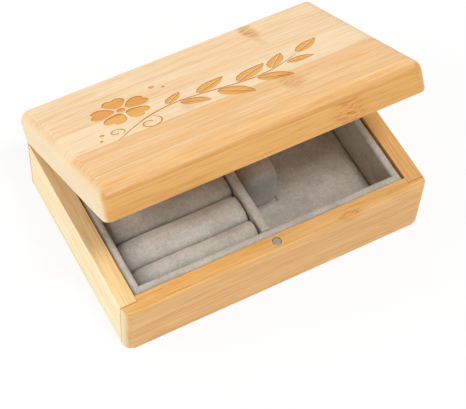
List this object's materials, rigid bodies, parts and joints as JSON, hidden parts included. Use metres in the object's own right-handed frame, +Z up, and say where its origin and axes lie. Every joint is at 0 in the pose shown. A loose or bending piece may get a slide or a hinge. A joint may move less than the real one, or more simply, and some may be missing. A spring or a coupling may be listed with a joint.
{
  "type": "jewelry box",
  "caption": "Low bamboo box with a hinged routed lid, magnetic catch and a grey velvet tray with ring rolls, dividers and open compartments.",
  "frame": {"origin": "middle of the underside of the body, on the surface the box stands on", "axes": "+X along the long front towards the right end, +Y from the front to the hinges, +Z up"},
  "size_m": [0.18, 0.1291, 0.1121],
  "materials": {
    "bamboo_long": "carbonised bamboo, fine straight grain along the board, satin lacquer",
    "bamboo_end": "natural bamboo, fine straight grain along the board, satin lacquer",
    "bamboo_lid": "edge-glued bamboo strips, straight grain with a few nodes, satin lacquer",
    "bamboo_ply": "thin bamboo panel, sanded",
    "nickel": "dull nickel plate on a disc magnet",
    "brass": "brass-plated, satin",
    "velvet_card": "grey velvet over fibreboard",
    "velvet_foam": "grey velvet over foam",
    "velvet_rail": "grey velvet over fibreboard"
  },
  "bodies": {
    "box": {"front_board": "bamboo_long", "back_board": "bamboo_long", "left_board": "bamboo_end", "right_board": "bamboo_end", "bottom_panel": "bamboo_ply", "body_magnet": "nickel", "hinge_left_body_leaf": "brass", "hinge_right_body_leaf": "brass", "hinge_left_pin": "brass", "hinge_right_pin": "brass", "hinge_left_body_screw_1": "brass", "hinge_left_body_screw_2": "brass", "hinge_right_body_screw_1": "brass", "hinge_right_body_screw_2": "brass", "tray_base": "velvet_card", "tray_front_rail": "velvet_rail", "tray_back_rail": "velvet_rail", "tray_left_rail": "velvet_rail", "tray_right_rail": "velvet_rail", "tray_long_divider": "velvet_rail", "tray_cross_divider": "velvet_rail", "ring_roll_1": "velvet_foam", "ring_roll_2": "velvet_foam", "ring_roll_3": "velvet_foam", "ring_roll_4": "velvet_foam", "ring_roll_5": "velvet_foam", "ring_roll_6": "velvet_foam", "short_roll_1": "velvet_foam", "short_roll_2": "velvet_foam", "compartment_pad_front": "velvet_foam", "compartment_pad_back": "velvet_foam"},
    "lid": {"lid_board": "bamboo_lid", "lid_magnet": "nickel", "hinge_left_lid_leaf": "brass", "hinge_right_lid_leaf": "brass", "hinge_left_lid_screw_1": "brass", "hinge_left_lid_screw_2": "brass", "hinge_right_lid_screw_1": "brass", "hinge_right_lid_screw_2": "brass"}
  },
  "joints": [
    {"name": "lid_hinge", "type": "hinge", "parent": "box", "child": "lid", "pos_m": [0, 0.0582, 0.0377], "axis": [-1, 0, 0], "range_deg": [-31, 64]}
  ]
}
